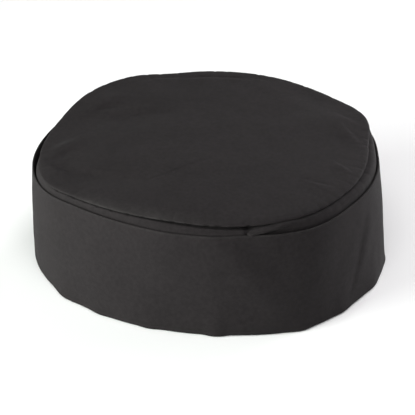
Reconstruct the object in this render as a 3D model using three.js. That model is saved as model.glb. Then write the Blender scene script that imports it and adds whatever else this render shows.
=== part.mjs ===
// A skull cap in woven cloth: an oval crown panel, the side wall that the panel is sewn to,
// and the cuff that is turned up round the wall.
// Millimetres, +Z up. +X runs along the long side of the oval, and -Y points to the front.
// The hem stands on z = 0, and the middle of the cap's outline lies on the Z axis.

import * as THREE from 'three';
import { ParametricGeometry } from 'three/addons/geometries/ParametricGeometry.js';

// Base ovals of the hem's foot, the cuff's top edge and the crown seam, each turned about Z in degrees
const HEM_OVAL = { length: 213, width: 166, turn: -10 };
const EDGE_OVAL = { length: 204, width: 167, turn: -6 };
const SEAM_OVAL = { length: 190, width: 165, turn: -4 };

// Where the ovals' common middle lies from the middle of the whole outline
const OVAL_MIDDLE = new THREE.Vector2(-1.2, -1.9);

const CUFF_HEIGHT = 68;
const SEAM_HEIGHT = 72.5;
const CROWN_MIDDLE = 79.5;

// Cloth: the cuff is folded double, and the wall and the crown count their turned-in allowance
const CUFF_THICKNESS = 1.8;
const WALL_THICKNESS = 1.2;
const CROWN_THICKNESS = 1.2;
const CLEARANCE = 0.3;
const WALL_CLEARANCE = 0.5;
const WALL_HOLLOW = 1.2;

const CUFF_BELLY = 0.6;
const HEM_ROUND = 0.5;
const ROLL_OVERHANG = 1.3;
const ROLL_RISE = 3;
const PANEL_RIM = 0.94;

// Sections around the cap, by azimuth from +X. hem, edge and seam are pushes out from the ovals,
// edgeRise and seamRise are height changes, and shoulder is how far the wall stands out below the seam.
const SECTIONS = [
  { at: 0, hem: 2.6, edge: -0.9, edgeRise: 0.5, seam: -0.6, seamRise: 1.5, shoulder: 4 },
  { at: 18, hem: 2.5, edge: 4, edgeRise: 0.5, seam: 5.6, seamRise: 2.5, shoulder: 1.5 },
  { at: 35, hem: 3.5, edge: 5, edgeRise: 0, seam: 4.2, seamRise: 3, shoulder: 2 },
  { at: 60, hem: 4, edge: 5.4, edgeRise: 0, seam: 3.2, seamRise: 4, shoulder: 2 },
  { at: 90, hem: 2.5, edge: 4, edgeRise: 0, seam: 1.6, seamRise: 4.5, shoulder: 2 },
  { at: 105, hem: 2, edge: 3.4, edgeRise: 0, seam: 1.2, seamRise: 4.5, shoulder: 2 },
  { at: 122, hem: 3, edge: 4.4, edgeRise: 0, seam: 3.4, seamRise: 6, shoulder: 2 },
  { at: 140, hem: 2, edge: 3.4, edgeRise: -1, seam: 2.6, seamRise: 4.2, shoulder: 1.5 },
  { at: 160, hem: -0.2, edge: 1, edgeRise: -2, seam: -1.2, seamRise: 0.5, shoulder: 0.8 },
  { at: 180, hem: -0.1, edge: 0.8, edgeRise: -3, seam: 1.2, seamRise: -2, shoulder: 0.8 },
  { at: 198, hem: -0.7, edge: 0, edgeRise: -2.5, seam: 4.6, seamRise: -2.5, shoulder: 0 },
  { at: 215, hem: 0.3, edge: -2.9, edgeRise: -1, seam: -1.1, seamRise: -1.5, shoulder: 0.2 },
  { at: 235, hem: 0, edge: -3.4, edgeRise: 0, seam: -3.6, seamRise: -0.5, shoulder: 0.6 },
  { at: 255, hem: -0.5, edge: -1.2, edgeRise: 0, seam: -3.7, seamRise: 0, shoulder: 2.2 },
  { at: 282, hem: 0.3, edge: 0.5, edgeRise: 0, seam: 0.3, seamRise: 0, shoulder: 0.4 },
  { at: 306, hem: 3.6, edge: 4.5, edgeRise: 0, seam: 2.2, seamRise: 0.5, shoulder: 3.4 },
  { at: 330, hem: -0.6, edge: -0.8, edgeRise: 0, seam: -0.1, seamRise: 1, shoulder: 3.2 },
];

// Folds of the cuff: each runs up from azimuth foot at height low to azimuth head at height high.
// wide is its half width in degrees, and out its height, negative for a crease.
const CUFF_FOLDS = [
  { foot: 322, low: 0, head: 340, high: 64, wide: 4.5, out: -1.2 },
  { foot: 330, low: 0, head: 348, high: 64, wide: 5, out: 1 },
  { foot: 309, low: 0, head: 308, high: 68, wide: 6, out: 0.8 },
  { foot: 299, low: 0, head: 280, high: 66, wide: 8, out: -0.8 },
  { foot: 228, low: 0, head: 222, high: 60, wide: 8, out: 0.5 },
];

// Folds of the crown panel in plan: a line between two points, its half width and its height.
const CROWN_FOLDS = [
  { from: [-94, -21], to: [-58, -38], wide: 5, up: -1.6 },
  { from: [-97, -20], to: [-76, -7], wide: 4, up: -1.2 },
  { from: [-97, -9], to: [-70, 8], wide: 6, up: 1.2 },
  { from: [-76, 35], to: [-47, 40], wide: 5, up: -1.6 },
  { from: [-58, 39], to: [-6, 41], wide: 7, up: -0.8 },
  { from: [-78, 55], to: [-42, 60], wide: 8, up: 1.1 },
  { from: [-48, -44], to: [8, -9], wide: 5, up: -0.9 },
  { from: [68, 44], to: [95, -11], wide: 5, up: 1.3 },
  { from: [76, 40], to: [97, 11], wide: 4, up: 1 },
  { from: [67, -9], to: [89, -37], wide: 4.5, up: 1.1 },
  { from: [48, -39], to: [82, -46], wide: 4.5, up: 0.9 },
  { from: [58, -22], to: [72, -42], wide: 5, up: -0.9 },
];

// Divisions of each surface: steps round the cap, and levels or rings of each section
const STEPS_AROUND = 96;
const CUFF_LEVELS = [0.08, 0.2, 0.33, 0.46, 0.59, 0.72, 0.84, 0.94];
const WALL_LEVELS = [0.35, 0.7, 1];
const SHOULDER_ANGLES = [30, 60, 90];
const CROWN_RINGS = [0, 0.12, 0.26, 0.4, 0.54, 0.67, 0.79, 0.88, PANEL_RIM];

const CLOTH_COLOUR = 0x35302f;

const radians = THREE.MathUtils.degToRad;
const mix = THREE.MathUtils.lerp;

// Reach of a turned oval from its middle, at an azimuth in degrees
function ovalReach(oval, azimuth) {
  const angle = radians(azimuth - oval.turn);
  const long = oval.length / 2;
  const short = oval.width / 2;
  return (long * short) / Math.hypot(short * Math.cos(angle), long * Math.sin(angle));
}

// A column of the sections at any azimuth, on a smooth curve that closes on itself
function around(column, azimuth) {
  const turned = THREE.MathUtils.euclideanModulo(azimuth, 360);
  const count = SECTIONS.length;
  const knot = (index) => {
    const laps = Math.floor(index / count);
    const row = SECTIONS[index - laps * count];
    return { at: row.at + 360 * laps, value: row[column] };
  };
  const slope = (index) => {
    const before = knot(index - 1);
    const after = knot(index + 1);
    return (after.value - before.value) / (after.at - before.at);
  };
  const last = SECTIONS.filter((row) => row.at <= turned).length - 1;
  const start = knot(last);
  const end = knot(last + 1);
  const span = end.at - start.at;
  const t = (turned - start.at) / span;
  const hold = t * t * (3 - 2 * t);
  const leave = t * (1 - t) * (1 - t) * span * slope(last);
  const arrive = t * t * (t - 1) * span * slope(last + 1);
  return mix(start.value, end.value, hold) + leave + arrive;
}

// The smooth bump of a fold, 1 on its line and 0 beyond its width
function bump(distance, width) {
  const share = Math.min(Math.abs(distance) / (2 * width), 1);
  return (1 - share * share) ** 3;
}

const hemReach = (azimuth) => ovalReach(HEM_OVAL, azimuth) + around('hem', azimuth);
const edgeReach = (azimuth) => ovalReach(EDGE_OVAL, azimuth) + around('edge', azimuth);
const seamReach = (azimuth) => ovalReach(SEAM_OVAL, azimuth) + around('seam', azimuth);
const edgeHeight = (azimuth) => CUFF_HEIGHT + around('edgeRise', azimuth);
const seamHeight = (azimuth) => SEAM_HEIGHT + around('seamRise', azimuth);

// How far the cuff's folds push its face out at an azimuth and a height
function cuffFolds(azimuth, z) {
  return CUFF_FOLDS.reduce((sum, fold) => {
    const share = (z - fold.low) / (fold.high - fold.low);
    const line = mix(fold.foot, fold.head, share);
    const aside = THREE.MathUtils.euclideanModulo(azimuth - line + 180, 360) - 180;
    const along = bump(share - 0.5, 0.32);
    return sum + fold.out * along * bump(aside, fold.wide);
  }, 0);
}

// Reach of the cuff's outer face at a share of its height
function cuffReach(azimuth, share) {
  const top = edgeReach(azimuth) + CUFF_THICKNESS / 2;
  const belly = CUFF_BELLY * Math.sin(Math.PI * share ** 1.4);
  return mix(hemReach(azimuth), top, share) + belly + cuffFolds(azimuth, share * edgeHeight(azimuth));
}

// How far the crown's folds lift the panel at a point in plan
function crownFolds(x, y) {
  return CROWN_FOLDS.reduce((sum, fold) => {
    const start = new THREE.Vector2(...fold.from);
    const run = new THREE.Vector2(...fold.to).sub(start);
    const offset = new THREE.Vector2(x, y).sub(start);
    const share = offset.dot(run) / run.lengthSq();
    const aside = offset.cross(run) / run.length();
    return sum + fold.up * bump(share - 0.5, 0.4) * bump(aside, fold.wide);
  }, 0);
}

// Height of the crown's upper face at a ring, as a share of the way from the middle to the seam
function crownHeight(azimuth, ring) {
  const reach = ring * seamReach(azimuth);
  const x = reach * Math.cos(radians(azimuth));
  const y = reach * Math.sin(radians(azimuth));
  const rim = seamHeight(azimuth) + ROLL_RISE;
  return mix(CROWN_MIDDLE, rim, (ring / PANEL_RIM) ** 2.2) + crownFolds(x, y);
}

// A closed section of the cuff as [reach, height] points, up the outer face and down the inner one
function cuffSection(azimuth) {
  const top = edgeHeight(azimuth);
  const half = CUFF_THICKNESS / 2;
  const foot = cuffReach(azimuth, 0);
  const head = cuffReach(azimuth, 1);
  const outer = CUFF_LEVELS.map((share) => [cuffReach(azimuth, share), share * (top - half)]);
  const inner = outer.map(([reach, z]) => [reach - CUFF_THICKNESS, z]).reverse();
  return [
    [foot - HEM_ROUND, 0],
    [foot, 2 * HEM_ROUND],
    ...outer,
    [head, top - half],
    [head - 0.3 * half, top - 0.3 * half],
    [head - half, top],
    [head - 1.7 * half, top - 0.3 * half],
    [head - CUFF_THICKNESS, top - half],
    ...inner,
    [foot - CUFF_THICKNESS, 0],
  ];
}

// The wall's outer face as [reach, height] points, from the hem up to the crown seam
function wallFace(azimuth) {
  const seam = seamReach(azimuth);
  const seamTop = seamHeight(azimuth) - CLEARANCE / 2;
  const insideCuff = (share) => cuffReach(azimuth, share) - CUFF_THICKNESS - WALL_CLEARANCE;
  const neck = Math.min(seam + around('shoulder', azimuth), insideCuff(1));
  const neckHeight = edgeHeight(azimuth) - CUFF_THICKNESS / 2;
  const foot = insideCuff(0);
  const lower = WALL_LEVELS.map((share) => {
    const line = mix(foot, neck, share) - WALL_HOLLOW * Math.sin(Math.PI * share);
    return [Math.min(line, insideCuff(share)), share * neckHeight];
  });
  const shoulder = SHOULDER_ANGLES.map((angle) => [
    mix(seam, neck, Math.cos(radians(angle))),
    mix(neckHeight, seamTop, Math.sin(radians(angle))),
  ]);
  return [[foot, 0], ...lower, ...shoulder];
}

// The points of a face moved inwards by a thickness, square to the face
function insideOf(face, thickness) {
  return face.map(([reach, z], index) => {
    const before = face[Math.max(index - 1, 0)];
    const after = face[Math.min(index + 1, face.length - 1)];
    const along = new THREE.Vector2(after[0] - before[0], after[1] - before[1]).normalize();
    return [reach - thickness * along.y, z + thickness * along.x];
  });
}

// A closed section of the wall, with a level foot and a level top under the crown
function wallSection(azimuth) {
  const face = wallFace(azimuth);
  const inner = insideOf(face, WALL_THICKNESS);
  const [seam, top] = face.at(-1);
  inner[0] = [face[0][0] - WALL_THICKNESS, 0];
  inner[inner.length - 1] = [seam - WALL_THICKNESS, top];
  return [...face, ...inner.reverse()];
}

// The crown's section: out along the underside, down to the seam, round the roll and back over the top
function crownSection(azimuth) {
  const seam = seamReach(azimuth);
  const low = seamHeight(azimuth) + CLEARANCE / 2;
  const top = CROWN_RINGS.map((ring) => [ring * seam, crownHeight(azimuth, ring)]);
  const under = top.map(([reach, z]) => [reach, z - CROWN_THICKNESS]);
  const rim = top.at(-1)[1];
  const roll = (out, up) => [seam + out * ROLL_OVERHANG, mix(low, rim, up)];
  return [
    ...under,
    [seam - 1.6 * CROWN_THICKNESS, mix(low, rim, 0.4)],
    [seam - CROWN_THICKNESS, low],
    roll(0, 0),
    roll(0.8, 0.2),
    roll(1, 0.5),
    roll(0.6, 0.82),
    roll(-0.8, 1),
    ...top.reverse(),
  ];
}

// A surface that carries a section round the cap, from the sections' azimuths
function swept(section) {
  const levels = section(0).length;
  const loops = [];
  for (let step = 0; step < STEPS_AROUND; step += 1) {
    const points = section((360 * step) / STEPS_AROUND);
    loops.push([...points, points[0]]);
  }
  const place = (u, v, target) => {
    const step = Math.round(u * STEPS_AROUND);
    const [reach, z] = loops[step % STEPS_AROUND][Math.round(v * levels)];
    const angle = (2 * Math.PI * step) / STEPS_AROUND;
    target.set(reach * Math.cos(angle), reach * Math.sin(angle), z);
  };
  return new ParametricGeometry(place, STEPS_AROUND, levels);
}

function clothMesh(name, section) {
  const cloth = new THREE.MeshStandardMaterial({ color: CLOTH_COLOUR, roughness: 0.9, metalness: 0 });
  const mesh = new THREE.Mesh(swept(section), cloth);
  mesh.name = name;
  return mesh;
}

const cap = new THREE.Group();
cap.add(clothMesh('cuff', cuffSection));
cap.add(clothMesh('side_wall', wallSection));
cap.add(clothMesh('crown_top', crownSection));
cap.position.set(OVAL_MIDDLE.x, OVAL_MIDDLE.y, 0);

export default cap;
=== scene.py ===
"""A cook's skull cap in black twill: an oval crown panel, its side wall and a turned-up cuff."""

import math

import bmesh
import bpy
import numpy as np
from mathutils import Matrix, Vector


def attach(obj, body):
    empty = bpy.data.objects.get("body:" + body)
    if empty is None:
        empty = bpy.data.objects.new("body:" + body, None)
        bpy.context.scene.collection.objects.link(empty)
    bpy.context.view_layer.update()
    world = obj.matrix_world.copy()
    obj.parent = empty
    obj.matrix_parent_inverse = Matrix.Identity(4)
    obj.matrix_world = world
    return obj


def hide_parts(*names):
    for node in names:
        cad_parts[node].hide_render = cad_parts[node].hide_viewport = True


bl_info = {
    "name": "Skull cap",
    "version": (1, 0, 0),
    "blender": (4, 5, 0),
    "location": "3D View > Sidebar > Skull cap",
    "description": "Makes a cloth skull cap over its frame, with a plain studio to show it in",
    "category": "Add Mesh",
}

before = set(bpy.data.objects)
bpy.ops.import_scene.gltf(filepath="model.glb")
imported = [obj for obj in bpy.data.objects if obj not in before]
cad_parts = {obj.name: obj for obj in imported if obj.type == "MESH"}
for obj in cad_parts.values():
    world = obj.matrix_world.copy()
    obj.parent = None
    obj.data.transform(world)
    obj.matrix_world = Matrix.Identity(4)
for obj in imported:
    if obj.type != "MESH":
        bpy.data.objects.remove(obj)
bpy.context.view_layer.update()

# Lengths are in metres, and in millimetres in the tables and where they are multiplied by MM.
# Angles are in degrees. Azimuth 0 is +X, along the long side of the oval, and 270 is the front.
MM = 0.001

# Divisions of the cloth: steps round each piece, and levels or rings up each section
BAND_STEPS = 880
CROWN_STEPS = 720
CUFF_LEVELS = 60
WALL_LEVELS = 18
SHOULDER_LEVELS = 16
CROWN_RINGS = 68
ROLL_STEPS = 4
TURN_STEPS = 6
RIM_STEPS = 6
TUCK_STEPS = 6

# How many levels of the outer face make one of the inner face, which shows less
CUFF_INNER_EVERY = 3
CROWN_INNER_EVERY = 4

# Points of a mesh that lie nearer than this are one point
WELD_DISTANCE = 1e-7


class Table:
    """Rows of numbers under named columns."""

    def __init__(self, names, *rows):
        self.names = names.split()
        self.rows = [dict(zip(self.names, row)) for row in rows]

    def column(self, name):
        """The numbers under one name."""
        return np.array([row[name] for row in self.rows], float)


# Base ovals of the hem's foot, the cuff's top edge and the crown seam, each turned about Z
HEM_OVAL = {"length": 0.213, "width": 0.166, "turn": -10}
EDGE_OVAL = {"length": 0.204, "width": 0.167, "turn": -6}
SEAM_OVAL = {"length": 0.190, "width": 0.165, "turn": -4}

# Where the ovals' common middle lies in plan
OVAL_MIDDLE = (-0.0012, -0.0019)

# Sections round the cap. hem, edge and seam are pushes out from the ovals, and edge_rise and
# seam_rise are height changes.
SECTIONS = Table(
    "at hem edge edge_rise seam seam_rise",
    (0, 2.6, -0.9, 0.5, -0.6, 1.5),
    (18, 2.5, 4.0, 0.5, 7.0, 3.4),
    (35, 3.5, 5.0, 0.0, 4.9, 3.5),
    (60, 4.0, 5.4, 0.0, 3.2, 5.0),
    (90, 2.5, 4.0, 0.0, 1.8, 5.1),
    (105, 2.0, 3.4, 0.0, 1.2, 4.8),
    (122, 3.0, 4.4, 0.0, 3.0, 5.8),
    (140, 2.0, 3.2, -1.0, 2.6, 4.4),
    (160, -0.2, 0.0, -2.0, -0.2, 0.6),
    (180, -0.2, 0.4, -3.7, 2.1, -2.4),
    (198, 0.2, 0.2, -3.0, 4.4, -2.1),
    (215, 0.4, -2.6, -0.6, -1.1, -0.8),
    (235, 0.8, -3.1, 0.5, -3.6, 0.6),
    (255, 0.4, -2.0, 0.9, -3.7, 1.3),
    (282, 1.3, -0.5, 1.1, 0.3, 1.1),
    (306, 3.8, 4.5, 0.4, 2.2, 0.8),
    (330, -0.2, -0.8, 0.1, -0.1, 1.2),
)

# How the wall and the crown meet round the cap: the wall's gap inside the cuff's edge, how far it
# laps over that edge, how far below the seam its shoulder stops and how far out from it, how
# bevelled that shoulder is (0.5 is nearly square, 1 a quarter round and 2 a straight slope), how
# softly the crown's edge rolls down (0 sharply and 1 softly) and how strongly its roll is
# lightened: a painted highlight where the light catches the roll, over a little real rubbing
FITS = Table(
    "at gap lap groove shelf bevel round rubbed",
    (0, 0.5, 0.0, 0.8, -0.6, 0.65, 0.5, 0.1),
    (20, 0.5, 0.0, 0.5, -0.5, 0.7, 0.3, 0.1),
    (60, 0.8, 0.0, 0.4, -0.4, 0.7, 0.2, 0.5),
    (100, 0.8, 0.0, 0.4, -0.4, 0.7, 0.2, 0.7),
    (140, 1.0, 0.0, 0.6, -0.6, 0.7, 0.1, 0.2),
    (158, 2.4, 0.0, 1.6, -1.6, 0.7, 0.0, 0.0),
    (176, 3.0, 0.0, 1.6, -1.6, 0.7, 0.2, 0.0),
    (188, 0.5, 0.0, 0.6, -0.6, 0.7, 0.7, 0.4),
    (205, 0.3, 0.0, 0.8, -0.2, 1.2, 1.0, 0.8),
    (222, 0.3, 0.0, 0.7, 0.1, 1.7, 1.0, 1.2),
    (238, 0.3, 0.0, 0.9, 0.2, 1.8, 1.0, 1.4),
    (252, 0.2, 0.3, 1.6, 0.3, 1.7, 1.0, 1.3),
    (268, 0.15, 0.5, 2.1, 0.3, 1.6, 1.0, 0.9),
    (283, 0.15, 0.6, 2.4, 0.4, 1.4, 0.9, 0.3),
    (288, 0.3, 0.3, 1.8, 0.8, 0.8, 0.8, 0.0),
    (294, 1.1, 0.0, 0.4, 1.0, 1.0, 0.6, 0.0),
    (306, 0.9, 0.0, 0.2, 1.2, 1.1, 0.5, 0.0),
    (325, 0.7, 0.0, 0.2, 1.0, 0.8, 0.5, 0.0),
    (345, 0.6, 0.0, 0.6, 0.0, 0.55, 0.5, 0.0),
)

# Folds of the cuff: each runs up from azimuth foot at height low to azimuth head at height high.
# before and after are the half widths, in degrees, of its flanks at lower and at higher azimuths,
# and out is its height, negative for a crease.
CUFF_FOLDS = Table(
    "foot low head high before after out",
    (324, 2, 338, 68, 3.2, 2.3, -0.3),
    (328, 2, 342, 68, 2.3, 3.6, 0.3),
    (325, 4, 334, 46, 1.6, 1.0, -0.15),
    (290, 30, 282, 96, 14.0, 12.0, 1.4),
    (309, 0, 308, 68, 6.0, 6.0, 0.4),
    (297, 8, 262, 92, 30.0, 9.0, 3.2),
    (228, 0, 222, 60, 8.0, 8.0, 0.4),
)

# Folds of the crown panel in plan, measured from the ovals' middle: a line between two points with
# a sideways bow to its right, the half widths of its left and right flanks, and its height,
# negative for a crease or a dent.
CROWN_FOLDS = Table(
    "x0 y0 x1 y1 bow left right up",
    (-84, -22.5, -42, -40, 0, 3.5, 10.0, -1.8),
    (-91, -3, -75, 7, 0, 4.0, 5.0, 1.3),
    (-92, -10, -79, -3.5, 0, 1.3, 3.5, -0.8),
    (-91, -11.5, -74, -28, 0, 8.0, 3.2, -1.7),
    (-70, 37, -45, 39, -4.5, 2.0, 5.0, -1.6),
    (-80, 31, -22, 31, -1, 4.5, 12.0, -2.1),
    (-72, 49, -44, 52, 0, 6.0, 5.0, 0.7),
    (-42, -46, 8, -14, 1, 1.0, 4.0, -0.2),
    (45, 77, 92, 24, 0, 9.0, 9.0, -0.9),
    (-54, 72, 46, 72, -5.5, 1.0, 1.5, -0.5),
    (-52, -72, 20, -82, 4, 8.0, 8.0, -1.0),
    (-86, -40, -36, -73, 3, 3.5, 6.0, 0.6),
    (69, 40, 91, 0, 0, 5.0, 5.0, 0.4),
    (78, 33.5, 89.5, 21.5, 0.5, 1.0, 6.0, 0.5),
    (79.5, 22, 91, -2, 0.5, 1.0, 6.0, 0.6),
    (72.5, -19.5, 83, -32, 0, 1.0, 6.0, 0.55),
    (69, -14, 86, -34, 0, 4.5, 4.5, 0.2),
    (56, -41.5, 73, -47.5, 0.5, 1.0, 6.0, 0.4),
)

# How far a fold runs either way from the middle of its line, as a share of that line
CUFF_FOLD_RUN = 0.32
CROWN_FOLD_RUN = 0.4

# Soft corners of the hem, where its stiff turn breaks between straight stretches: each one's
# azimuth and how far it stands out
HEM_CORNERS = Table(
    "at out",
    (207, 1.2),
    (211, 1.3),
    (215, 0.4),
    (225.5, 0.8),
    (246.7, 0.9),
    (273.5, 1.5),
    (304.5, 1.3),
    (322.5, 1.0),
    (340, 0.9),
    (355.7, 0.9),
    (30, 0.9),
    (62, 0.9),
    (95, 0.9),
    (128, 0.9),
    (160, 0.9),
)

# A corner's half width in degrees, how far in the stretches between the corners lie, and the power
# by which the corners fade up the cuff
CORNER_WIDE = 3.5
BETWEEN_CORNERS = 0.25
CORNER_FADE = 6

# The cuff's belly: how far it stands out, and the power that lifts it above the middle
CUFF_BELLY = 0.6
CUFF_BELLY_LIFT = 1.4

# The crown's edge as its cloth's middle line: out from the seam, and up from it as a share of the
# way to the panel's face, where it turns down sharply and where it rolls down softly
ROLL = Table(
    "out up soft_out soft_up",
    (-2.6, 0.19, -2.6, 0.19),
    (-0.6, 0.20, -0.6, 0.20),
    (0.1, 0.22, 0.05, 0.22),
    (0.5, 0.39, 0.4, 0.35),
    (0.45, 0.66, 0.2, 0.54),
    (0.0, 0.90, -0.8, 0.75),
    (-1.8, 1.0, -3.4, 0.95),
)

# How far over the seam the panel's face lies where it goes over into the roll
ROLL_RISE = 0.0027

# The level of the crown's section that stands furthest out, from which its painted highlight and
# its rubbing are measured
ROLL_EDGE_LEVEL = 14

# The crown panel: the rings that lead out of the roll, as shares of the seam's reach, the power by
# which it falls from its middle, and the power that spaces its other rings from its edge inwards
PANEL_SHOULDER = (0.94, 0.915, 0.89)
PANEL_FALL = 2.2
PANEL_SPREAD = 0.7

# The notch where the wall's ends meet: the azimuths and half widths of its crease and of the bulge
# beside it, at the cuff's edge and at the seam, and their depth and height
WALL_JOIN = {
    "foot": 284.8,
    "head": 288.2,
    "foot_wide": 0.7,
    "head_wide": 3.0,
    "deep": 0.9,
    "bulge_foot": 286.6,
    "bulge_head": 300.0,
    "bulge_foot_wide": 1.0,
    "bulge_head_wide": 3.2,
    "bulge": 1.4,
}

# Where the cuff's ends are joined, at the back: the depth and half width in degrees of the crease,
# the height and half width of the swelling that it lies in, and the share of the cuff's height
# over which they come in from the hem
CUFF_JOIN = {"at": 90, "deep": 0.35, "wide": 0.35, "puff": 0.18, "puff_wide": 1.4, "fade": 0.1}

# Puckers along the crown seam: how far apart they lie, how deep, wide and long they are, the seed
# of their draws, the seam's mean reach in metres and the share of their depth that the wall has
PUCKER_SPACING = (6.5, 13.0)
PUCKER_DEPTH = (0.05, 0.24)
PUCKER_WIDTH = (0.8, 1.9)
PUCKER_REACH = (2.5, 8.0)
PUCKER_SEED = 11
SEAM_MEAN_REACH = 0.09
WALL_PUCKER_SHARE = 0.8

# Uneven relief: how many waves cross, and how their lengths spread about the length asked for
CROSSED_WAVES = 14
WAVE_SPREAD = (0.7, 1.6)

# Uneven relief of the cloth: the length of its waves, the seed of their draws and their height
CUFF_RELIEF = Table("length seed deep", (30, 3, 0.16), (11, 5, 0.04))
CROWN_RELIEF = Table("length seed deep", (28, 21, 0.10), (12, 22, 0.03))

# Where that relief fades out: over these shares of the cuff's height from its hem and from its
# edge, and over this distance from the crown seam
HEM_RELIEF_FADE = 0.2
EDGE_RELIEF_FADE = 0.25
SEAM_RELIEF_FADE = 15

# Lightening of the folded edges: how strong it is, and how far from the edge it fades. At the
# cuff's edge and the hem it comes from rubbing; along the crown's roll it is mostly a painted
# highlight where the light catches the roll, over a little rubbing
EDGE_WEAR = {"strong": 1.0, "reach": 0.9}
HEM_WEAR = {"strong": 0.5, "reach": 1.2}
CROWN_HIGHLIGHT_AND_WEAR = {"strong": 0.45, "reach": 16}

# Thickness of the cuff's upper cloth, inside which the wall stands
CUFF_CLOTH = 0.0012

# The wall's way up: how far its neck lies below the cuff's edge, how far it sags inwards behind the
# cuff, how near it comes to the cuff, how far it is tucked in under the crown, the power by which
# that tuck comes up out of the groove, the half width of its lap over the cuff's edge, and the
# heights in metres between which its cloth thins
WALL_NECK = 1.5
WALL_SAG = 1.2
WALL_CLEAR = 0.1
WALL_TUCK = 3.2
WALL_TUCK_RISE = 6
WALL_LAP_WIDE = 0.8
WALL_THINS = (0.03, 0.06)

# Where the wall's notch and puckers come in, in metres: over the cuff's edge and below the seam
NOTCH_OVER_EDGE = (-0.005, -0.001)
NOTCH_BELOW_SEAM = (-0.0003, 0.0008)
PUCKERS_OVER_EDGE = (-0.004, 0)

# The studio's soft boxes: where each stands, its share of the light and its tint
LIGHTS = Table(
    "azimuth elevation share red green blue",
    (205, 12, 0.53, 0.95, 1.0, 0.95),
    (270, 65, 0.14, 1.0, 0.99, 1.0),
    (45, 20, 0.19, 1.0, 0.99, 1.0),
    (15, 10, 0.14, 1.0, 0.99, 1.0),
)
LIGHT_SIZE = 0.8
LIGHT_DISTANCE = 1.2
LIGHT_AIM = (0, 0, 0.04)

# The camera: where it stands, the point that it aims at, its lens and sensor in millimetres, and
# the nearest distance that it shows
CAMERA_AZIMUTH = 270
CAMERA_ELEVATION = 33
CAMERA_AIM = (-0.0006, -0.0054, 0.035)
CAMERA_LENS = 144.85
CAMERA_SENSOR = 36
CAMERA_NEAR = 0.05

# The floor's side, its darkest shade as a share of its colour, and its roughness
FLOOR_SIZE = 8
FLOOR_DARKEST = 0.99
FLOOR_ROUGHNESS = 0.9

TWILL_NAME = "woven_black_twill"

# The twill: how steeply its ribs climb, how far they drift in radians of their wave, how its slubs
# are drawn out along the yarn, and how much each part adds to its relief
RIB_SLOPE = 62
RIB_DRIFT = 1.6
SLUB_STRETCH = (1, 0.12, 1)
WEAVE_PARTS = {"rib": 0.65, "yarn": 0.35, "slubs": 0.25}

# Unevenness of the cloth and the floor: how many patches there are to a metre, how many finer
# layers lie over them and how strong each of those is
GRAIN = {
    "drift": (220.0, 2.0, 0.5),
    "slubs": (1500.0, 2.0, 0.5),
    "mottle": (45.0, 4.0, 0.55),
    "heather": (420.0, 3.0, 0.6),
    "fleck": (1300.0, 2.0, 0.6),
    "creases": (90.0, 3.0, 0.5),
    "floor": (3.0, 2.0, 0.5),
}

# How much each kind of unevenness adds to the dye and to the roughness
DYE_PARTS = {"mottle": 0.3, "heather": 0.5, "fleck": 0.2}
ROUGH_PARTS = {"fleck": 0.6, "mottle": 0.4}

# Ramps: the two values between which a cause changes, and the two that it comes out as. They turn
# the weave and the dye into shares of the cloth's colour, and unevenness into roughness.
WEAVE_SHADES = (0.1, 1.1, 0.9, 1.1)
DYE_SHADES = (0.3, 0.7, 0.77, 1.23)
ROUGHNESS = (0.3, 0.7, 0.72, 0.9)

# Paling of the edges and painted highlight: how much of it counts at least, how much more of it
# the mottle brings out, and the ramp that turns it into a share of the pale colour, which is both
# the colour of edges pale from rubbing and a painted highlight along the crown's roll
RUB_AND_HIGHLIGHT_LEAST = 0.6
RUB_AND_HIGHLIGHT_MOTTLE = 0.8
RUB_AND_HIGHLIGHT_SHARES = (0.15, 1.1)

# Depth of the small creases and of the weave, and the cloth's bloom
CREASE_BUMP = {"Strength": 0.25, "Distance": 0.0006}
WEAVE_BUMP = {"Strength": 0.5, "Distance": 0.00012}
BLOOM = {"Specular IOR Level": 0.08, "Sheen Weight": 0.027, "Sheen Roughness": 0.5}


class CapSizes(bpy.types.PropertyGroup):
    """Sizes of the cap that a maker would change."""

    cuff_height: bpy.props.FloatProperty(
        name="Cuff height",
        description="Height of the turned-up cuff",
        default=0.068,
        unit="LENGTH",
    )
    seam_height: bpy.props.FloatProperty(
        name="Seam height",
        description="Height of the crown seam over the hem",
        default=0.0725,
        unit="LENGTH",
    )
    crown_height: bpy.props.FloatProperty(
        name="Crown height",
        description="Height of the crown's upper face at its middle",
        default=0.0795,
        unit="LENGTH",
    )
    cuff_thickness: bpy.props.FloatProperty(
        name="Cuff thickness",
        description="Thickness of the cuff's double cloth",
        default=0.0018,
        unit="LENGTH",
    )
    wall_thickness: bpy.props.FloatProperty(
        name="Wall thickness",
        description="Thickness of the side wall and of the hem's turn",
        default=0.0012,
        unit="LENGTH",
    )
    crown_thickness: bpy.props.FloatProperty(
        name="Crown thickness",
        description="Thickness of the crown panel's cloth",
        default=0.0010,
        unit="LENGTH",
    )
    hem_turn: bpy.props.FloatProperty(
        name="Hem turn",
        description="Radius of the cloth's middle line where the hem turns up into the cuff",
        default=0.00115,
        unit="LENGTH",
    )


class CapCloth(bpy.types.PropertyGroup):
    """Colours and weave of the cap's twill."""

    colour: bpy.props.FloatVectorProperty(
        name="Cloth",
        description="Colour of the dyed yarn",
        subtype="COLOR",
        size=3,
        default=(0.0162, 0.0140, 0.0147),
    )
    # Pale colour of edges from rubbing, also used to paint a highlight along the crown's roll
    worn_and_lit_colour: bpy.props.FloatVectorProperty(
        name="Worn cloth",
        description="Colour where folded edges have rubbed",
        subtype="COLOR",
        size=3,
        default=(0.027, 0.025, 0.0248),
    )
    twill_pitch: bpy.props.FloatProperty(
        name="Twill pitch",
        description="Distance from one diagonal rib to the next",
        default=0.00055,
        unit="LENGTH",
    )
    yarn_pitch: bpy.props.FloatProperty(
        name="Yarn pitch",
        description="Distance from one yarn to the next along a rib",
        default=0.0004,
        unit="LENGTH",
    )


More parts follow.
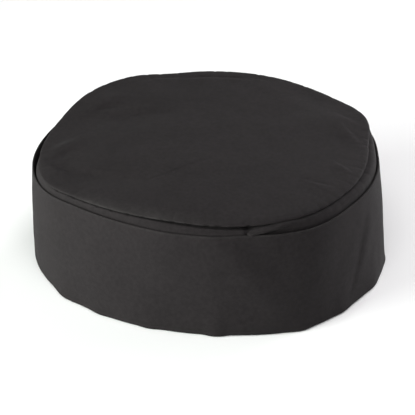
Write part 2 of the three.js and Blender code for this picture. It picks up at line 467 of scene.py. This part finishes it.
class CapStudio(bpy.types.PropertyGroup):
    """Light and floor of the studio."""

    floor_colour: bpy.props.FloatVectorProperty(
        name="Floor",
        description="Colour of the plain floor",
        subtype="COLOR",
        size=3,
        default=(0.93, 0.93, 0.93),
    )
    light_power: bpy.props.FloatProperty(
        name="Light",
        description="Power of all the lights, of which each takes its own share",
        default=62.0,
        unit="POWER",
    )
    fill: bpy.props.FloatProperty(
        name="Fill",
        description="Strength of the even light all round",
        default=0.01,
    )


def mix(low, high, share):
    """The value at a share of the way from low to high."""
    return low + (high - low) * share


def bump(distance, width):
    """The smooth bump of a fold: 1 on its line, 0.4 at its half width and 0 from twice that on."""
    share = np.minimum(np.abs(distance) / (2 * width), 1)
    return (1 - share**2) ** 3


def step_up(value, low, high):
    """0 below low and 1 above high, with a smooth change between."""
    share = np.clip((value - low) / (high - low), 0, 1)
    return share * share * (3 - 2 * share)


def aside_of(azimuth, line):
    """Signed angle from a line's azimuth, from -180 to 180."""
    return np.mod(azimuth - line + 180, 360) - 180


def unevenness(points, wavelength, seed):
    """Smooth uneven relief between about -1 and 1, from a few crossed waves."""
    random = np.random.default_rng(seed)
    heading = random.normal(size=(CROSSED_WAVES, points.shape[-1]))
    heading /= np.linalg.norm(heading, axis=1, keepdims=True)
    length = wavelength * random.uniform(*WAVE_SPREAD, CROSSED_WAVES)
    phase = random.uniform(0, 2 * math.pi, CROSSED_WAVES)
    angle = points @ (heading * (2 * math.pi / length)[:, None]).T + phase
    return np.sin(angle).sum(axis=-1) / math.sqrt(CROSSED_WAVES)


def oval_reach(oval, azimuth):
    """Reach of a turned oval from its middle."""
    angle = np.radians(azimuth - oval["turn"])
    long = oval["length"] / 2
    short = oval["width"] / 2
    return long * short / np.hypot(short * np.cos(angle), long * np.sin(angle))


def around(table, name, azimuth):
    """A column of a table by azimuth, on a smooth curve that closes on itself."""
    at = table.column("at")
    value = table.column(name) * MM
    at = np.concatenate((at[-2:] - 360, at, at[:2] + 360))
    value = np.concatenate((value[-2:], value, value[:2]))
    slope = np.gradient(value, at)
    slope[1:-1] = (value[2:] - value[:-2]) / (at[2:] - at[:-2])
    turned = np.mod(azimuth, 360)
    start = np.searchsorted(at, turned, side="right") - 1
    span = at[start + 1] - at[start]
    share = (turned - at[start]) / span
    hold = share**2 * (3 - 2 * share)
    leave = share * (1 - share) ** 2 * span * slope[start]
    arrive = share**2 * (share - 1) * span * slope[start + 1]
    return mix(value[start], value[start + 1], hold) + leave + arrive


def hem_corners(azimuth):
    """How far the soft corners of the hem stand out from its oval."""
    push = 0
    for corner in HEM_CORNERS.rows:
        push = push + corner["out"] * bump(aside_of(azimuth, corner["at"]), CORNER_WIDE)
    return (push - BETWEEN_CORNERS) * MM


def hem_reach(azimuth):
    """Reach of the cuff's outer face at the hem."""
    return oval_reach(HEM_OVAL, azimuth) + around(SECTIONS, "hem", azimuth)


def edge_reach(azimuth):
    """Reach of the middle of the cuff's top edge."""
    return oval_reach(EDGE_OVAL, azimuth) + around(SECTIONS, "edge", azimuth)


def seam_reach(azimuth):
    """Reach of the crown seam."""
    return oval_reach(SEAM_OVAL, azimuth) + around(SECTIONS, "seam", azimuth)


def edge_height(sizes, azimuth):
    """Height of the cuff's top edge."""
    return sizes.cuff_height + around(SECTIONS, "edge_rise", azimuth)


def seam_height(sizes, azimuth):
    """Height of the crown seam."""
    return sizes.seam_height + around(SECTIONS, "seam_rise", azimuth)


def cuff_folds(azimuth, height):
    """How far the cuff's folds push its face out."""
    push = 0
    for fold in CUFF_FOLDS.rows:
        share = (height / MM - fold["low"]) / (fold["high"] - fold["low"])
        line = mix(fold["foot"], fold["head"], share)
        aside = aside_of(azimuth, line)
        wide = np.where(aside < 0, fold["before"], fold["after"])
        push = push + fold["out"] * MM * bump(share - 0.5, CUFF_FOLD_RUN) * bump(aside, wide)
    return push


def cuff_reach(sizes, azimuth, share):
    """Reach of the cuff's outer face at a share of its height."""
    top = edge_reach(azimuth) + sizes.cuff_thickness / 2
    belly = CUFF_BELLY * MM * np.sin(math.pi * share**CUFF_BELLY_LIFT)
    height = share * edge_height(sizes, azimuth)
    corners = hem_corners(azimuth) * (1 - share) ** CORNER_FADE
    return mix(hem_reach(azimuth), top, share) + belly + corners + cuff_folds(azimuth, height)


def crown_folds(x, y):
    """How far the crown's folds lift the panel at a point in plan."""
    lift = 0
    for fold in CROWN_FOLDS.rows:
        run = np.array((fold["x1"] - fold["x0"], fold["y1"] - fold["y0"])) * MM
        length = np.hypot(*run)
        right = x - fold["x0"] * MM
        back = y - fold["y0"] * MM
        share = (right * run[0] + back * run[1]) / length**2
        bow = fold["bow"] * MM * 4 * share * (1 - share)
        aside = (right * run[1] - back * run[0]) / length - bow
        wide = np.where(aside < 0, fold["left"], fold["right"]) * MM
        lift = lift + fold["up"] * MM * bump(share - 0.5, CROWN_FOLD_RUN) * bump(aside, wide)
    return lift


def smooth_path(points, steps):
    """A curve through the points of each section, with a number of steps to each span."""
    first = 2 * points[:, :1] - points[:, 1:2]
    last = 2 * points[:, -1:] - points[:, -2:-1]
    padded = np.concatenate((first, points, last), axis=1)
    pieces = []
    for span in range(points.shape[1] - 1):
        a, b, c, d = (padded[:, span + i, None] for i in range(4))
        t = np.linspace(0, 1, steps, endpoint=False)[None, :, None]
        bend = (2 * a - 5 * b + 4 * c - d) * t**2 + (3 * b - a - 3 * c + d) * t**3
        pieces.append((2 * b + (c - a) * t + bend) / 2)
    return np.concatenate(pieces + [points[:, -1:]], axis=1)


def azimuths(steps, start=0):
    """The azimuths of the steps round the cap, as a column."""
    return start + np.arange(steps)[:, None] * 360 / steps


def placed(azimuth, reach, height):
    """Points in space from a reach and a height on each azimuth."""
    angle = np.radians(azimuth)
    x = OVAL_MIDDLE[0] + reach * np.cos(angle)
    y = OVAL_MIDDLE[1] + reach * np.sin(angle)
    return np.stack((x, y, np.broadcast_to(height, x.shape)), axis=-1)


def unit(vectors):
    """The vectors at a length of 1."""
    return vectors / np.linalg.norm(vectors, axis=-1, keepdims=True)


def surface_frame(middle, pole):
    """Unit normals of a middle surface, and its unit directions along each section."""
    along = unit(np.gradient(middle, axis=1))
    girth = np.roll(middle, -1, axis=0) - np.roll(middle, 1, axis=0)
    if pole:
        girth[:, -1] = girth[:, -2]
        along[:, -1] = along[:, -2]
    normal = unit(np.cross(girth, along))
    if pole:
        normal[:, -1] = unit(normal[:, -1].mean(axis=0))
    return normal, along


def over_skin(values, pole, inner):
    """A value for each level of the middle surface, carried to every point of the skin."""
    back = values[:, inner[::-1]]
    end = np.repeat(values[:, -1:], RIM_STEPS, axis=1)
    start = np.repeat(values[:, :1], RIM_STEPS, axis=1)
    if pole:
        return np.concatenate((back, start, values), axis=1)
    return np.concatenate((values, end, back, start), axis=1)


def cloth_faces(middle, half, pole, inner):
    """The closed skin of a cloth whose middle surface is given, as one section for each step.

    It runs along the outer face, round the rim at its end, back along the levels that the inner
    face keeps and round the rim at its start. A cloth with a pole has no rim at its end.
    """
    normal, along = surface_frame(middle, pole)
    outer = middle + normal * half[..., None]
    back = (middle - normal * half[..., None])[:, inner[::-1]]
    turn = np.linspace(0, math.pi, RIM_STEPS + 2)[1:-1]

    def rim(level, sign):
        arc_out = np.cos(turn)[None, :, None] * normal[:, level, None]
        arc_on = np.sin(turn)[None, :, None] * along[:, level, None]
        return middle[:, level, None] + sign * half[:, level, None, None] * (arc_out + arc_on)

    if pole:
        return np.concatenate((back, rim(0, -1), outer), axis=1)
    return np.concatenate((outer, rim(-1, 1), back, rim(0, -1)), axis=1)


def cloth_object(name, middle, half, cloth_map, wear_and_highlight, pole=False, inner_every=1):
    """Makes a cloth body with its weave map, in metres of cloth, and how pale its edges are from
    rubbing and from painted highlight.
    """
    levels = middle.shape[1]
    inner = np.unique(np.append(np.arange(0, levels, inner_every), levels - 1))
    skin = cloth_faces(middle, half, pole, inner)
    maps = np.stack([over_skin(cloth_map[..., i], pole, inner) for i in range(2)], axis=-1)
    steps, count = skin.shape[:2]
    step, level = np.meshgrid(np.arange(steps), np.arange(count - pole), indexing="ij")
    corners = [(step, level), (step + 1, level), (step + 1, level + 1), (step, level + 1)]
    index = [(i % steps) * count + j % count for i, j in corners]
    quads = np.stack(index, axis=-1).reshape(-1, 4)
    corner_maps = np.stack([maps[i, j % count] for i, j in corners], axis=2)
    mesh = bpy.data.meshes.new(name)
    mesh.from_pydata(skin.reshape(-1, 3).tolist(), [], quads.tolist())
    weave = mesh.uv_layers.new(name="weave")
    weave.data.foreach_set("uv", corner_maps.astype(np.float32).ravel())
    worn_and_lit = mesh.attributes.new("wear_and_highlight", "FLOAT", "POINT")
    worn_and_lit.data.foreach_set("value", over_skin(wear_and_highlight, pole, inner).astype(np.float32).ravel())
    shell = bmesh.new()
    shell.from_mesh(mesh)
    bmesh.ops.remove_doubles(shell, verts=shell.verts, dist=WELD_DISTANCE)
    shell.to_mesh(mesh)
    shell.free()
    mesh.shade_smooth()
    made = bpy.data.objects.new(name, mesh)
    bpy.context.scene.collection.objects.link(made)
    return made


def band_map(middle, azimuth, reach):
    """The weave map of a band: distance round the cap and distance along its section."""
    ring = placed(azimuth[:, 0], reach, 0)
    chord = np.linalg.norm(np.roll(ring, -1, axis=0) - ring, axis=-1)
    girth = np.concatenate(([0], np.cumsum(chord)))
    run = np.linalg.norm(np.diff(middle, axis=1), axis=-1)
    up = np.concatenate((np.zeros((len(run), 1)), np.cumsum(run, axis=1)), axis=1)
    up = np.concatenate((up, up[:1]))
    return np.stack(np.broadcast_arrays(girth[:, None], up), axis=-1)


def puckers(azimuth, from_seam):
    """How far the puckers along the crown seam pull the cloth in, by distance from the seam."""
    random = np.random.default_rng(PUCKER_SEED)
    reach = seam_reach(azimuth)
    at = 0.0
    depth = 0.0
    while at < 360:
        wide = random.uniform(*PUCKER_WIDTH) * MM
        deep = random.uniform(*PUCKER_DEPTH) * MM
        fade = np.exp(-np.abs(from_seam) / (random.uniform(*PUCKER_REACH) * MM))
        aside = np.radians(aside_of(azimuth, at)) * reach
        depth = depth + deep * fade * bump(aside, wide)
        at += math.degrees(random.uniform(*PUCKER_SPACING) * MM / SEAM_MEAN_REACH)
    return depth


def cloth_relief(points, waves):
    """The cloth's uneven relief, from the waves of a table."""
    relief = 0
    for wave in waves.rows:
        relief = relief + unevenness(points, wave["length"] * MM, wave["seed"]) * wave["deep"] * MM
    return relief


def rubbed(distance, wear_and_highlight):
    """How much the cloth has paled from rubbing at a distance from a folded edge."""
    return wear_and_highlight["strong"] * np.exp(-distance / (wear_and_highlight["reach"] * MM))


def hem_turn(sizes, azimuth, outwards):
    """The lower half of the hem's turn, from its lowest point up to the cuff or up to the wall."""
    half = sizes.wall_thickness / 2
    angle = np.radians(np.linspace(0, 90, TURN_STEPS, endpoint=False))[None, :]
    lowest = cuff_reach(sizes, azimuth, 0) - half - sizes.hem_turn
    reach = lowest + outwards * sizes.hem_turn * np.sin(angle)
    height = half + sizes.hem_turn * (1 - np.cos(angle))
    return reach, np.broadcast_to(height, reach.shape)


def above_turn(sizes, levels, to_edge=True):
    """The levels above the hem's turn, as shares of the cuff's height."""
    start = (sizes.wall_thickness / 2 + sizes.hem_turn) / sizes.cuff_height
    return np.linspace(start, 1, levels, endpoint=to_edge)[None, :]


def make_cuff(sizes):
    """The turned-up cuff, from the lowest point of its hem to its folded top edge."""
    azimuth = azimuths(BAND_STEPS, CUFF_JOIN["at"])
    half_hem = sizes.wall_thickness / 2
    half_top = CUFF_CLOTH / 2
    turn_reach, turn_height = hem_turn(sizes, azimuth, 1)
    top = edge_height(sizes, azimuth) - half_top
    share = above_turn(sizes, CUFF_LEVELS)
    height = share * top
    half = np.full(height.shape, half_hem)
    face = cuff_reach(sizes, azimuth, share)
    relief = cloth_relief(placed(azimuth, face, height), CUFF_RELIEF)
    relief = relief * step_up(1 - share, 0, EDGE_RELIEF_FADE) * step_up(share, 0, HEM_RELIEF_FADE)
    beside = aside_of(azimuth, CUFF_JOIN["at"])
    puff = CUFF_JOIN["puff"] * bump(beside, CUFF_JOIN["puff_wide"])
    crease = CUFF_JOIN["deep"] * bump(beside, CUFF_JOIN["wide"])
    face = face + relief + (puff - crease) * MM * step_up(share, 0, CUFF_JOIN["fade"])
    reach = np.concatenate((turn_reach, face - half), axis=1)
    height = np.concatenate((turn_height, height), axis=1)
    half = np.concatenate((np.full(turn_height.shape, half_hem), half), axis=1)
    middle = placed(azimuth, reach, height)
    to_top = edge_height(sizes, azimuth) - height
    wear_and_highlight = rubbed(to_top, EDGE_WEAR) + rubbed(height, HEM_WEAR)
    maps = band_map(middle, azimuth, cuff_reach(sizes, azimuth, 0.5)[:, 0])
    return cloth_object("cuff_band", middle, half, maps, wear_and_highlight, inner_every=CUFF_INNER_EVERY)


def wall_relief(sizes, azimuth, height):
    """How far the wall stands out at its notch, where it laps over the cuff, and at its puckers."""
    edge = edge_height(sizes, azimuth)
    below_seam = seam_height(sizes, azimuth) - sizes.crown_thickness / 2 - height
    rise = np.clip((height - edge) / (below_seam + height - edge), 0, 1)

    def ridge(name):
        line = mix(WALL_JOIN[name + "foot"], WALL_JOIN[name + "head"], rise)
        wide = mix(WALL_JOIN[name + "foot_wide"], WALL_JOIN[name + "head_wide"], rise)
        return bump(aside_of(azimuth, line), wide)

    notch = WALL_JOIN["bulge"] * ridge("bulge_") - WALL_JOIN["deep"] * ridge("")
    shown = step_up(height - edge, *NOTCH_OVER_EDGE) * step_up(below_seam, *NOTCH_BELOW_SEAM)
    lap = around(FITS, "lap", azimuth) * bump(height - edge, WALL_LAP_WIDE * MM)
    gather = puckers(azimuth, below_seam) * WALL_PUCKER_SHARE
    gather = gather * step_up(height - edge, *PUCKERS_OVER_EDGE)
    return notch * MM * shown + lap - gather


def make_wall(sizes):
    """The side wall, from the hem's lowest point up behind the cuff and in under the crown."""
    azimuth = azimuths(BAND_STEPS, WALL_JOIN["foot"])
    half_hem = sizes.wall_thickness / 2
    half_top = sizes.crown_thickness / 2
    turn_reach, turn_height = hem_turn(sizes, azimuth, -1)

    def inside_cuff(share):
        return cuff_reach(sizes, azimuth, share) - CUFF_CLOTH

    groove = around(FITS, "groove", azimuth)
    seam = seam_reach(azimuth)
    shelf = seam + around(FITS, "shelf", azimuth)
    bevel = around(FITS, "bevel", azimuth) / MM
    seam_top = seam_height(sizes, azimuth) - half_top
    neck = inside_cuff(1) - around(FITS, "gap", azimuth)
    neck_height = edge_height(sizes, azimuth) - WALL_NECK * MM
    share = above_turn(sizes, WALL_LEVELS, to_edge=False)
    foot = inside_cuff(0) - sizes.hem_turn * 2 + CUFF_CLOTH
    line = mix(foot, neck, share) - WALL_SAG * MM * np.sin(math.pi * share)
    lower = np.minimum(line, inside_cuff(share) - WALL_CLEAR * MM) - half_hem
    arc = np.radians(np.linspace(0, 90, SHOULDER_LEVELS))[None, :]
    shoulder = mix(shelf, neck - half_top, np.cos(arc) ** bevel)
    shoulder_height = mix(neck_height, seam_top - groove, np.sin(arc) ** bevel)
    tucked = np.linspace(0, 1, TUCK_STEPS + 1)[None, 1:]
    tuck = mix(shelf, seam - WALL_TUCK * MM, tucked)
    tuck_height = seam_top - groove * (1 - tucked**WALL_TUCK_RISE)
    heights = (turn_height, share * neck_height, shoulder_height, tuck_height)
    reach = np.concatenate((turn_reach, lower, shoulder, tuck), axis=1)
    height = np.concatenate(heights, axis=1)
    half = mix(half_hem, half_top, step_up(height, *WALL_THINS))
    middle = placed(azimuth, reach, height)
    normal, _ = surface_frame(middle, False)
    middle = middle + normal * wall_relief(sizes, azimuth, height)[..., None]
    maps = band_map(middle, azimuth, seam[:, 0])
    return cloth_object("side_wall_cloth", middle, half, maps, rubbed(height, HEM_WEAR))


def make_crown(sizes):
    """The crown panel, from the inner end of its rolled edge to its middle."""
    azimuth = azimuths(CROWN_STEPS)
    angle = np.radians(azimuth)
    half = sizes.crown_thickness / 2
    seam = seam_reach(azimuth)
    low = seam_height(sizes, azimuth)

    def panel(ring):
        reach = ring * seam
        fall = (ring / PANEL_SHOULDER[0]) ** PANEL_FALL
        folds = crown_folds(reach * np.cos(angle), reach * np.sin(angle))
        height = mix(sizes.crown_height, low + ROLL_RISE, fall) + folds - half
        return np.stack((reach, height), axis=-1)

    soft = around(FITS, "round", azimuth) / MM

    def roll_column(name):
        return mix(ROLL.column(name), ROLL.column("soft_" + name), soft)

    shoulder = panel(np.array([PANEL_SHOULDER]))
    roll = panel(1 + roll_column("out") * MM / seam)
    roll[..., 1] = mix(low, roll[..., 1], roll_column("up"))
    edge = smooth_path(np.concatenate((roll, shoulder), axis=1), ROLL_STEPS)
    rings = PANEL_SHOULDER[-1] * np.linspace(1, 0, CROWN_RINGS)[None, 1:] ** PANEL_SPREAD
    section = np.concatenate((edge, panel(rings)), axis=1)
    middle = placed(azimuth, section[..., 0], section[..., 1])
    from_seam = seam - section[..., 0]
    outermost = middle[:, ROLL_EDGE_LEVEL, None]
    from_edge = np.linalg.norm(middle - outermost, axis=-1)
    fade = 1 - step_up(from_edge, 0, CROWN_HIGHLIGHT_AND_WEAR["reach"] * MM)
    # Painted highlight along the crown's roll where the light catches it, over a little rubbing
    wear_and_highlight = CROWN_HIGHLIGHT_AND_WEAR["strong"] * around(FITS, "rubbed", azimuth) / MM * fade
    relief = cloth_relief(middle[..., :2], CROWN_RELIEF)
    relief = relief * step_up(from_seam, 0, SEAM_RELIEF_FADE * MM) - puckers(azimuth, from_seam)
    relief[:, -1] = relief[0, -1]
    normal, _ = surface_frame(middle, True)
    middle = middle + normal * relief[..., None]
    half = np.full(middle.shape[:2], half)
    maps = np.concatenate((middle[..., :2], middle[:1, :, :2]))
    return cloth_object(
        "crown_panel", middle, half, maps, wear_and_highlight, pole=True, inner_every=CROWN_INNER_EVERY
    )


class Wire:
    """A shader socket that Python's operators turn into Math nodes."""

    def __init__(self, shader, socket):
        self.shader = shader
        self.socket = socket

    def maths(self, operation, first, second):
        """A Math node on two values or sockets."""
        return self.shader.add("ShaderNodeMath", {"operation": operation}, {0: first, 1: second})

    def __add__(self, other):
        return self.maths("ADD", self, other)

    def __radd__(self, other):
        return self.maths("ADD", other, self)

    def __sub__(self, other):
        return self.maths("SUBTRACT", self, other)

    def __rsub__(self, other):
        return self.maths("SUBTRACT", other, self)

    def __mul__(self, other):
        return self.maths("MULTIPLY", self, other)

    def __rmul__(self, other):
        return self.maths("MULTIPLY", other, self)


class Shader:
    """A material's node tree, built by adding nodes with their settings and sockets."""

    def __init__(self, name):
        self.material = bpy.data.materials.new(name)
        self.material.use_nodes = True
        self.tree = self.material.node_tree
        self.tree.nodes.clear()

    def add(self, kind, settings=None, sockets=None, output=0):
        """Adds a node, sets it up, and gives one of its outputs."""
        node = self.tree.nodes.new(kind)
        for name, value in (settings or {}).items():
            setattr(node, name, value)
        for key, value in (sockets or {}).items():
            if isinstance(value, Wire):
                self.tree.links.new(value.socket, node.inputs[key])
            else:
                node.inputs[key].default_value = value
        return Wire(self, node.outputs[output]) if node.outputs else None

    def wave(self, angle):
        """A sine wave from 0 to 1."""
        return self.add("ShaderNodeMath", {"operation": "SINE"}, {0: angle}) * 0.5 + 0.5

    def grain(self, name, vector):
        """One of the named kinds of unevenness, from 0 to 1."""
        scale, detail, roughness = GRAIN[name]
        sockets = {"Vector": vector, "Scale": scale, "Detail": detail, "Roughness": roughness}
        return self.add("ShaderNodeTexNoise", {}, sockets)

    def ramp(self, value, low, high, low_out=0.0, high_out=1.0):
        """A value from low to high, mapped smoothly to its new limits."""
        sockets = {0: value, 1: low, 2: high, 3: low_out, 4: high_out}
        return self.add("ShaderNodeMapRange", {"interpolation_type": "SMOOTHSTEP"}, sockets)

    def blend(self, share, first, second):
        """A mix of two colours."""
        sockets = {0: share, 6: first, 7: second}
        return self.add("ShaderNodeMix", {"data_type": "RGBA"}, sockets, output=2)


def rgba(colour, shade=1.0):
    """A colour at a share of its light, as a socket takes it."""
    return (*(part * shade for part in colour), 1.0)


def weighted(parts, shares):
    """Named parts, added up at their shares."""
    first, *others = (parts[name] * share for name, share in shares.items())
    for part in others:
        first = first + part
    return first


def twill_height(shader, weave, cloth):
    """The twill's relief: steep diagonal ribs that drift, crossed by yarns with slubs."""
    across = shader.add("ShaderNodeSeparateXYZ", {}, {0: weave}, output="X")
    along = shader.add("ShaderNodeSeparateXYZ", {}, {0: weave}, output="Y")
    slope = math.radians(RIB_SLOPE)
    rib_turn = 2 * math.pi / cloth.twill_pitch
    yarn_turn = math.pi / cloth.yarn_pitch
    climb = across * (rib_turn * math.sin(slope)) + along * (rib_turn * math.cos(slope))
    rib = shader.wave(climb + shader.grain("drift", weave) * RIB_DRIFT)
    yarn = shader.wave(along * (2 * yarn_turn) - across * yarn_turn)
    stretched = shader.add("ShaderNodeMapping", {}, {"Vector": weave, "Scale": SLUB_STRETCH})
    parts = {"rib": rib, "yarn": rib * yarn, "slubs": shader.grain("slubs", stretched)}
    return weighted(parts, WEAVE_PARTS)


def twill_material(cloth):
    """Black cotton twill: its woven relief, uneven dyeing, a soft bloom, edges pale from use and a
    painted highlight.
    """
    shader = Shader(TWILL_NAME)
    weave = shader.add("ShaderNodeUVMap", {"uv_map": "weave"})
    place = shader.add("ShaderNodeTexCoord", output="Object")
    wear_and_highlight = shader.add("ShaderNodeAttribute", {"attribute_name": "wear_and_highlight"}, output="Fac")
    height = twill_height(shader, weave, cloth)
    grains = {name: shader.grain(name, place) for name in DYE_PARTS}
    # The pale colour goes on edges pale from rubbing and on the painted highlight of the crown's
    # roll
    worn_and_lit = shader.ramp(wear_and_highlight * (RUB_AND_HIGHLIGHT_LEAST + grains["mottle"] * RUB_AND_HIGHLIGHT_MOTTLE), *RUB_AND_HIGHLIGHT_SHARES)
    shade = shader.ramp(height, *WEAVE_SHADES)
    shade = shade * shader.ramp(weighted(grains, DYE_PARTS), *DYE_SHADES)
    shades = shader.add("ShaderNodeCombineXYZ", {}, {0: shade, 1: shade, 2: shade})
    dye_wear_and_highlight = shader.blend(worn_and_lit, rgba(cloth.colour), rgba(cloth.worn_and_lit_colour))
    colour = shader.add("ShaderNodeVectorMath", {"operation": "MULTIPLY"}, {0: dye_wear_and_highlight, 1: shades})
    creased = {**CREASE_BUMP, "Height": shader.grain("creases", place)}
    woven = {**WEAVE_BUMP, "Height": height, "Normal": shader.add("ShaderNodeBump", {}, creased)}
    sockets = {
        "Base Color": colour,
        "Roughness": shader.ramp(weighted(grains, ROUGH_PARTS), *ROUGHNESS),
        "Normal": shader.add("ShaderNodeBump", {}, woven),
        **BLOOM,
    }
    surface = shader.add("ShaderNodeBsdfPrincipled", {}, sockets)
    shader.add("ShaderNodeOutputMaterial", {}, {"Surface": surface})
    return shader.material


def floor_material(studio):
    """A plain pale floor."""
    shader = Shader("pale_floor")
    uneven = shader.grain("floor", shader.add("ShaderNodeTexCoord", output="Object"))
    darkest = rgba(studio.floor_colour, FLOOR_DARKEST)
    colour = shader.blend(uneven, rgba(studio.floor_colour), darkest)
    sockets = {"Base Color": colour, "Roughness": FLOOR_ROUGHNESS}
    surface = shader.add("ShaderNodeBsdfPrincipled", {}, sockets)
    shader.add("ShaderNodeOutputMaterial", {}, {"Surface": surface})
    return shader.material


def dress(piece, node):
    """Gives a piece of cloth its finish, and puts it in its solid's place."""
    material = bpy.data.materials.get(TWILL_NAME)
    if material is None:
        material = twill_material(bpy.context.scene.cap_cloth)
    piece.data.materials.append(material)
    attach(piece, "root")
    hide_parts(node)


class CAP_OT_cuff_band(bpy.types.Operator):
    """Make the turned-up cuff, from its hem to its folded top edge"""

    bl_idname = "skull_cap.cuff_band"
    bl_label = "Cuff"

    def execute(self, context):
        cuff = make_cuff(context.scene.cap_sizes)
        dress(cuff, "cuff")
        return {"FINISHED"}


class CAP_OT_side_wall(bpy.types.Operator):
    """Make the side wall, from the hem's turn to the crown seam"""

    bl_idname = "skull_cap.side_wall"
    bl_label = "Side wall"

    def execute(self, context):
        wall = make_wall(context.scene.cap_sizes)
        dress(wall, "side_wall")
        return {"FINISHED"}


class CAP_OT_crown_panel(bpy.types.Operator):
    """Make the crown panel, with its folds and its rolled edge"""

    bl_idname = "skull_cap.crown_panel"
    bl_label = "Crown panel"

    def execute(self, context):
        crown = make_crown(context.scene.cap_sizes)
        dress(crown, "crown_top")
        return {"FINISHED"}


def direction(azimuth, elevation):
    """The unit vector that points to an azimuth and an elevation."""
    turn = math.radians(azimuth)
    rise = math.radians(elevation)
    level = math.cos(rise)
    return Vector((math.cos(turn) * level, math.sin(turn) * level, math.sin(rise)))


def soft_light(light, power):
    """A square soft box that shines on the cap from its own direction."""
    name = f"soft_box_{light['azimuth']}"
    lamp = bpy.data.lights.new(name, "AREA")
    lamp.size = LIGHT_SIZE
    lamp.energy = power * light["share"]
    lamp.color = (light["red"], light["green"], light["blue"])
    way = direction(light["azimuth"], light["elevation"])
    made = bpy.data.objects.new(name, lamp)
    made.location = Vector(LIGHT_AIM) + way * LIGHT_DISTANCE
    made.rotation_euler = way.to_track_quat("Z", "Y").to_euler()
    bpy.context.scene.collection.objects.link(made)


def make_floor(studio):
    """The floor that the cap rests on."""
    bpy.ops.object.select_all(action="DESELECT")
    bpy.ops.mesh.primitive_plane_add(size=FLOOR_SIZE, location=(0, 0, 0))
    floor = bpy.context.object
    floor.name = "floor"
    floor.data.materials.append(floor_material(studio))


def make_camera():
    """The camera at the photograph's angle, a metre away from the point that it aims at."""
    back = direction(CAMERA_AZIMUTH, CAMERA_ELEVATION)
    camera = bpy.data.objects.new("camera", bpy.data.cameras.new("camera"))
    camera.data.sensor_width = CAMERA_SENSOR
    camera.data.lens = CAMERA_LENS
    camera.data.clip_start = CAMERA_NEAR
    camera.location = Vector(CAMERA_AIM) + back
    camera.rotation_euler = (-back).to_track_quat("-Z", "Y").to_euler()
    bpy.context.scene.collection.objects.link(camera)
    bpy.context.scene.camera = camera


def make_world(fill):
    """The even light all round, which is all that the world gives."""
    world = bpy.data.worlds.new("studio")
    bpy.context.scene.world = world
    world.use_nodes = True
    background = world.node_tree.nodes["Background"]
    background.inputs["Color"].default_value = (1, 1, 1, 1)
    background.inputs["Strength"].default_value = fill


class CAP_OT_studio(bpy.types.Operator):
    """Make the pale floor, the soft lights and the camera"""

    bl_idname = "skull_cap.studio"
    bl_label = "Studio"

    def execute(self, context):
        studio = context.scene.cap_studio
        make_floor(studio)
        make_camera()
        make_world(studio.fill)
        for light in LIGHTS.rows:
            soft_light(light, studio.light_power)
        context.scene.view_settings.view_transform = "Standard"
        return {"FINISHED"}


class CAP_PT_panel(bpy.types.Panel):
    """Lists the cap's pieces and their sizes"""

    bl_idname = "CAP_PT_panel"
    bl_label = "Skull cap"
    bl_space_type = "VIEW_3D"
    bl_region_type = "UI"
    bl_category = "Skull cap"

    def draw(self, context):
        for group in (context.scene.cap_sizes, context.scene.cap_cloth, context.scene.cap_studio):
            box = self.layout.box()
            for name in group.__annotations__:
                box.prop(group, name)
        for operator in OPERATORS:
            self.layout.operator(operator.bl_idname)


GROUPS = {"cap_sizes": CapSizes, "cap_cloth": CapCloth, "cap_studio": CapStudio}
OPERATORS = (CAP_OT_cuff_band, CAP_OT_side_wall, CAP_OT_crown_panel, CAP_OT_studio)


def register():
    for name, group in GROUPS.items():
        bpy.utils.register_class(group)
        setattr(bpy.types.Scene, name, bpy.props.PointerProperty(type=group))
    for kind in (*OPERATORS, CAP_PT_panel):
        bpy.utils.register_class(kind)


def unregister():
    for kind in (CAP_PT_panel, *reversed(OPERATORS)):
        bpy.utils.unregister_class(kind)
    for name, group in reversed(GROUPS.items()):
        delattr(bpy.types.Scene, name)
        bpy.utils.unregister_class(group)


def main():
    register()
    bpy.ops.skull_cap.cuff_band()
    bpy.ops.skull_cap.side_wall()
    bpy.ops.skull_cap.crown_panel()
    bpy.ops.skull_cap.studio()


if __name__ == "__main__":
    main()
